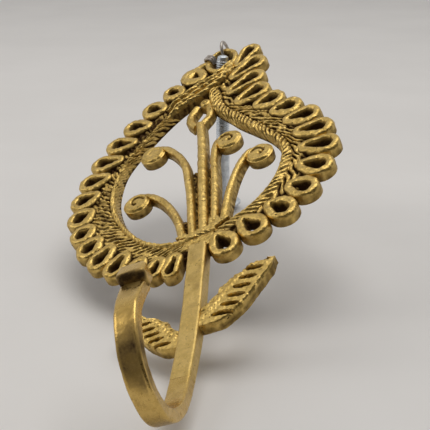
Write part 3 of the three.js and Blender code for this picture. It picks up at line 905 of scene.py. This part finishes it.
# ---- sprig leaves ----
def leaf_parts(node, base, heading, length, mirror, recesses, seed):
    """A notched leaf with slanting recesses below its midrib and short grooves above it."""
    outline = wall_loops(node, LEAF_BACK)[0] - np.array(base)
    axis = np.array([mirror * cos(heading), sin(heading)])
    over = np.array([-mirror * sin(heading), cos(heading)])
    t_edge = outline @ axis
    s_edge = outline @ over
    # The leaf's lower and upper edge at each step along its axis.
    steps = 190
    t = np.linspace(t_edge.min() + 0.25, t_edge.max() - 0.2, steps)
    closed = np.append(np.arange(len(t_edge)), 0)
    low = np.full(steps, np.inf)
    high = np.full(steps, -np.inf)
    for i, j in zip(closed, closed[1:]):
        first, last = sorted((i, j), key=lambda k: t_edge[k])
        if t_edge[last] - t_edge[first] < 1e-6:
            continue
        share = (t - t_edge[first]) / (t_edge[last] - t_edge[first])
        inside = (share >= 0) & (share <= 1)
        s = s_edge[first] + share * (s_edge[last] - s_edge[first])
        low = np.where(inside, np.minimum(low, s), low)
        high = np.where(inside, np.maximum(high, s), high)
    # The edges are smoothed, and drawn in to a round tip.
    window = np.hanning(21) / np.hanning(21).sum()
    low, high = (np.convolve(np.pad(line, 10, "edge"), window, "valid") for line in (low, high))
    middle = (low + high) / 2
    taper = np.sqrt(1 - 0.96 * np.clip((t / length - 0.84) / 0.15, 0, 1) ** 2)
    low, high = (middle + (line - middle) * taper for line in (low, high))
    v = np.linspace(0, 1, 60)
    s = low[:, None] + v * (high - low)[:, None]
    along = np.broadcast_to(t[:, None], s.shape)
    rib = length * (0.17 * np.sin(2.4 * along / length) - 0.07)
    cut = np.zeros(s.shape)
    for k in range(recesses):
        middle_t = length * (0.16 + 0.116 * k)
        middle_s = length * (0.045 * k - 0.19)
        dt, ds = along - middle_t, s - middle_s
        lengthwise = (dt * cos(RECESS_SLANT) + ds * sin(RECESS_SLANT)) / (0.105 * length)
        crosswise = (ds * cos(RECESS_SLANT) - dt * sin(RECESS_SLANT)) / (0.027 * length)
        hollow = np.clip(1.15 - lengthwise ** 2 - crosswise ** 2, 0, 1) ** 0.7
        cut = np.maximum(cut, RECESS_DEPTH * hollow)
    upper = ease(0.3, 1.4, s - rib)
    notch = ridges((along + 0.9 * (s - rib)) / (0.115 * length), 0.8)
    cut = np.maximum(cut, 0.55 * notch * upper)
    bead = np.exp(-((s - rib) / 0.55) ** 2) * (0.35 + 0.3 * np.sin(along * 2 * pi / 1.5))
    edge = 1 - 0.12 * (1 - ease(0, 0.05, v)) - 0.3 * ease(0.92, 1.0, v)
    tip = 1 - 0.2 * ease(0.85, 1.0, t / length)[:, None]
    flat = np.array(base) + along[..., None] * axis + s[..., None] * over
    front = LEAF_BACK + LEAF_DEPTH * edge * tip - 0.25
    raised = np.clip(front + bead * upper.max() * 0.8 - cut, LEAF_BACK + 0.6, LEAF_BACK + LEAF_DEPTH)
    rim = LEAF_BACK - 0.25 + LEAF_EDGE * (1 + 1.4 * ease(0.3, 1.0, t / length)[:, None])
    first = flat[:, :1]
    last = flat[:, -1:]
    rings = np.hstack([on_wall(first, LEAF_BACK), on_wall(first, rim), on_wall(flat, raised),
                       on_wall(last, rim), on_wall(last, LEAF_BACK)])
    rings[..., 1] -= LEAF_BEND * ease(0.2, 1.0, t / length)[:, None]
    # The stalk end runs into the bar.
    stalk = ease(0.2 * length, -0.05 * length, t)[:, None, None]
    rings = rings - stalk * 2.2 * np.array([axis[0], 0, axis[1]])
    rings = rough_cast(rings, 0.06, 1.6, seed + 3)
    # Painted shade: the recesses are darker, and so are the sides.
    shade = edged(np.clip(cut * 0.62 - 0.12, 0, 1) + 0.05, 0.5, 0.5, 2)
    return rings, shade + 0.15 * bumps(rings, 2.5, seed + 4), False


# ---- bolt and tie wires ----
def bolt_parts():
    """A coach bolt round its CAD axis: a rounded tip, a helical thread, a plain shank and a domed head."""
    points = node_points("fixing_bolt")
    axis = np.array(frame["joints"][0]["axis"])
    axis /= norm(axis)
    along = points @ axis
    tip = along.max()
    shank = tip - along.min() - BOLT_HEAD_HEIGHT
    # The axis runs through the middle of the points that aren't on the head.
    off_head = np.unique(np.round(points[along > tip - 60], 2), axis=0)
    middle = off_head.mean(0)
    middle = middle + axis * (tip - middle @ axis)
    side = np.cross(axis, [0, 0, 1.0])
    side /= norm(side)
    other = np.cross(axis, side)
    theta = full_turn(40)
    depth = np.concatenate([[0.0, 0.02, 0.06], np.arange(0.125, THREAD_LENGTH + 1, 0.125),
                            np.linspace(THREAD_LENGTH + 1.4, shank, 24)])
    thread = 0.5 + 0.5 * np.cos(2 * pi * (depth[:, None] / THREAD_PITCH - theta / (2 * pi)))
    fade = (1 - ease(THREAD_LENGTH - 1.5, THREAD_LENGTH + 0.5, depth))[:, None]
    radius = BOLT_RADIUS - THREAD_DEPTH * thread * fade
    dome = 2.35 * np.sqrt(1 - (1 - np.minimum(depth, 1.1) / 1.1) ** 2) + 0.3 * np.maximum(depth - 1.1, 0)
    radius = np.minimum(radius, dome[:, None])
    # The head, as radius and depth below the shank.
    head = np.array([(7.7, 0.0), (8.0, 0.25), (8.0, 0.8), (7.6, 1.35), (6.6, 2.05), (5.2, 2.75), (3.6, 3.25),
                     (1.8, 3.52), (0.0, BOLT_HEAD_HEIGHT)])
    depth = np.concatenate([depth, shank + head[:, 1]])[:, None, None]
    radius = np.concatenate([radius, np.broadcast_to(head[:, :1], (len(head), len(theta)))])[..., None]
    round_it = np.cos(theta)[None, :, None] * side + np.sin(theta)[None, :, None] * other
    return middle - depth * axis + radius * round_it, 0.0, False


def tie_parts(node):
    """A round turn of wire in the plane of a CAD ring."""
    points = np.unique(np.round(node_points(node), 2), axis=0)
    middle = points.mean(0)
    _, _, rows = np.linalg.svd(points - middle)
    away = norm((points - middle) @ rows[:2].T, axis=1)
    radius = (away.max() + away.min()) / 2
    wire = 0.95 * (away.max() - away.min()) / 2
    theta = full_turn(72)[:, None, None]
    phi = full_turn(16)[None, :, None]
    out = np.cos(theta) * rows[0] + np.sin(theta) * rows[1]
    return middle + out * (radius + wire * np.cos(phi)) + wire * np.sin(phi) * rows[2], 0.0, True


def wrap_parts(node):
    """Tight turns of thin wire side by side, where the CAD has one band round the wall of the eye."""
    points = node_points(node)
    middle = (points.min(0) + points.max(0)) / 2
    eye_low, eye_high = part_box("fixing_eye")
    outward = middle - (np.array(eye_low) + np.array(eye_high)) * 500
    outward[1] = 0
    outward /= norm(outward)
    beside = np.array([-outward[2], 0, outward[0]])
    deep = np.array([0, 1.0, 0])
    ways = (beside, outward, deep)
    half_wide, half_out, half_deep = [np.abs((points - middle) @ way).max() for way in ways]
    wire = half_wide / WRAP_TURNS
    theta = full_turn(96)
    path = np.stack([squared(np.cos(theta), 0.5) * (half_out - wire),
                     squared(np.sin(theta), 0.5) * (half_deep - wire)], 1)
    phi = full_turn(14)
    flat = path[:, None] + wire * np.cos(phi)[None, :, None] * loop_normals(path)[:, None]
    rings = middle + flat[..., :1] * outward + flat[..., 1:] * deep
    parts = []
    for k in range(WRAP_TURNS):
        shift = (2 * k + 1 - WRAP_TURNS) * wire + wire * np.sin(phi)
        parts.append((rings + shift[None, :, None] * beside, 0.0, True))
    return parts


# ---- building ----
make_petals("left", 16, 100)
make_petals("right", 14, 500)
left_braid = [braid_parts("braid_left", LEFT_BRAID, 11, OVER_THE_BAR)]
left_braid += [strand_parts(points, 71 + 10 * k) for k, points in enumerate(NECK_STRANDS)]
make_piece("roped_braid_left", left_braid, "braid_left", CAST, sharp=75)
make_piece("roped_braid_right", [braid_parts("braid_right", RIGHT_BRAID, 21)], "braid_right", CAST, sharp=75)
eye = [ring_parts("fixing_eye", eye_swell, 31), bridge_parts(EYE_BRIDGE, 41)]
make_piece("cast_eye", eye, "fixing_eye", CAST)

SCROLLS = [("scroll_outer_left", 1, GROOVE_DEPTH), ("scroll_inner_left", 1, FAINT_GROOVE),
           ("scroll_inner_right", -1, GROOVE_DEPTH), ("scroll_outer_right", -1, GROOVE_DEPTH)]
for number, (node, turn, depth) in enumerate(SCROLLS):
    make_piece("curled_" + node, scroll_parts(node, turn, depth, 700 + 40 * number), node, CAST)

middle_stem = [stem_parts("stem_centre", 911, 2.5, 0.8),
               web_parts("scroll_outer_left", "scroll_outer_right", 17.5, 26.0, 2.6, 901),
               web_parts("scroll_inner_left", "scroll_inner_right", 19.0, 54.0, 1.8, 905)]
make_piece("middle_stem", middle_stem, "stem_centre", CAST)
for side, seed, end_reach in (("left", 921, 2.2), ("right", 931, 3.0)):
    branch = stem_parts("fork_" + side, seed, 2.0, end_reach, branch_height, count=60)
    make_piece("branch_" + side, [branch], "fork_" + side, CAST)
make_piece("round_bud", [bud_parts()], "bud", CAST)
make_fan_base("cast_fan_base", 941)

make_piece("filed_bar", [strap_parts(True, 951)], "stem_bar", FILED)
make_piece("bent_hook", [strap_parts(False, 961)], "j_hook", POLISHED)
make_piece("rounded_lip", [lip_parts(971)], "hook_lip", POLISHED)

# Each leaf's stalk, [x, z], heading, length and side, the same as in CAD, its recesses, and its seed.
LEAVES = {"leaf_right": ((3.8, -24), 0.576, 28.4, 1, 7, 981),
          "leaf_left": ((-3.7, -31), 0.6, 23.0, -1, 5, 991)}
for node, leaf in LEAVES.items():
    make_piece("veined_" + node, [leaf_parts(node, *leaf)], node, CAST)

make_piece("threaded_bolt", [bolt_parts()], "fixing_bolt", ZINC, body="bolt", sharp=40)
make_piece("wire_turn_top", [tie_parts("tie_wire_top")], "tie_wire_top", TIE)
make_piece("wire_wrap_side", wrap_parts("tie_wire_side"), "tie_wire_side", TIE)


# ---- table, lights and camera ----
corners = np.vstack([[v.co for v in node.data.vertices] for node in frame["nodes"].values()])
table_height = float((corners @ np.array(TABLE_UP)).min())

back = Vector((sin(CAMERA_AZIMUTH) * cos(CAMERA_ELEVATION),
               -cos(CAMERA_AZIMUTH) * cos(CAMERA_ELEVATION), sin(CAMERA_ELEVATION)))
level_right = Vector((cos(CAMERA_AZIMUTH), sin(CAMERA_AZIMUTH), 0))
level_up = back.cross(level_right)
right = level_right * cos(CAMERA_ROLL) + level_up * sin(CAMERA_ROLL)
up = level_up * cos(CAMERA_ROLL) - level_right * sin(CAMERA_ROLL)
camera_data = bpy.data.cameras.new("camera")
camera_data.lens = CAMERA_LENS
camera_data.sensor_width = 36
camera_data.clip_start = 0.01
camera_data.clip_end = 20
camera = new_object("camera", camera_data)
camera.matrix_world = Matrix.Translation(CAMERA_PLACE) @ Matrix((right, up, back)).transposed().to_4x4()
scene.camera = camera

# Directions on the table: towards the viewer, and to the viewer's right.
towards = (back - TABLE_UP * back.dot(TABLE_UP)).normalized()
table_right = TABLE_UP.cross(towards)


def table_material():
    """Matt pale board, seen only from above, so that the back of the hook can be looked at too."""
    material, nodes, shader = principled("pale_board")
    tone = noise_node(nodes, 12, 4.0, 0.5)
    board_colour = ramp_node(tone, [(0.3, (0.79, 0.775, 0.76)), (0.7, (0.83, 0.815, 0.80))])
    join(board_colour, shader.inputs["Base Color"])
    shader.inputs["Roughness"].default_value = 0.7
    side = nodes.new("ShaderNodeNewGeometry")
    clear = nodes.new("ShaderNodeBsdfTransparent")
    choose = nodes.new("ShaderNodeMixShader")
    join(side.outputs["Backfacing"], choose.inputs[0])
    join(shader.outputs[0], choose.inputs[1])
    join(clear.outputs[0], choose.inputs[2])
    join(choose.outputs[0], nodes["Material Output"].inputs["Surface"])
    return material


board_mesh = bpy.data.meshes.new("board")
foot = TABLE_UP * table_height
board_mesh.from_pydata([foot + table_right * x * BOARD_HALF + towards * y * BOARD_HALF
                        for x, y in ((-1, -1), (-1, 1), (1, 1), (1, -1))], [], [(0, 1, 2, 3)])
board = new_object("board", board_mesh)
board_mesh.materials.append(table_material())


def area_light(name, offset, size, power, colour):
    """A soft light at an offset (right, up, towards the viewer) from the hook, aimed at it."""
    data = bpy.data.lights.new(name, "AREA")
    data.shape = "RECTANGLE"
    data.size, data.size_y = size
    data.energy = power
    data.color = colour
    lamp = new_object(name, data)
    place = LIGHTS_AIM + table_right * offset[0] + TABLE_UP * offset[1] + towards * offset[2]
    lamp.location = place
    lamp.rotation_mode = "QUATERNION"
    lamp.rotation_quaternion = (LIGHTS_AIM - place).to_track_quat("-Z", "Y")


area_light("soft_top", (0.15, 1.1, -0.1), (1.0, 0.9), 5.6, (1.0, 0.98, 0.95))
area_light("soft_left", (-0.9, 0.6, 0.0), (0.6, 0.5), 1.6, (1.0, 0.97, 0.93))

world = bpy.data.worlds.new("studio")
world.use_nodes = True
scene.world = world
nodes = world.node_tree.nodes
place = nodes.new("ShaderNodeTexCoord")
level = nodes.new("ShaderNodeVectorMath")
level.operation = "DOT_PRODUCT"
level.inputs[1].default_value = towards
join(place.outputs["Generated"], level.inputs[0])
halved = math_node("MULTIPLY_ADD", level.outputs["Value"], 0.5, 0.5)
tone = ramp_node(halved, [(0.0, (0.8, 0.79, 0.78)), (0.42, (0.68, 0.67, 0.66)),
                          (0.58, (0.2, 0.19, 0.18)), (0.72, (0.05, 0.045, 0.04))])
join(tone, nodes["Background"].inputs["Color"])
nodes["Background"].inputs["Strength"].default_value = 0.8
scene.view_settings.view_transform = "Standard"
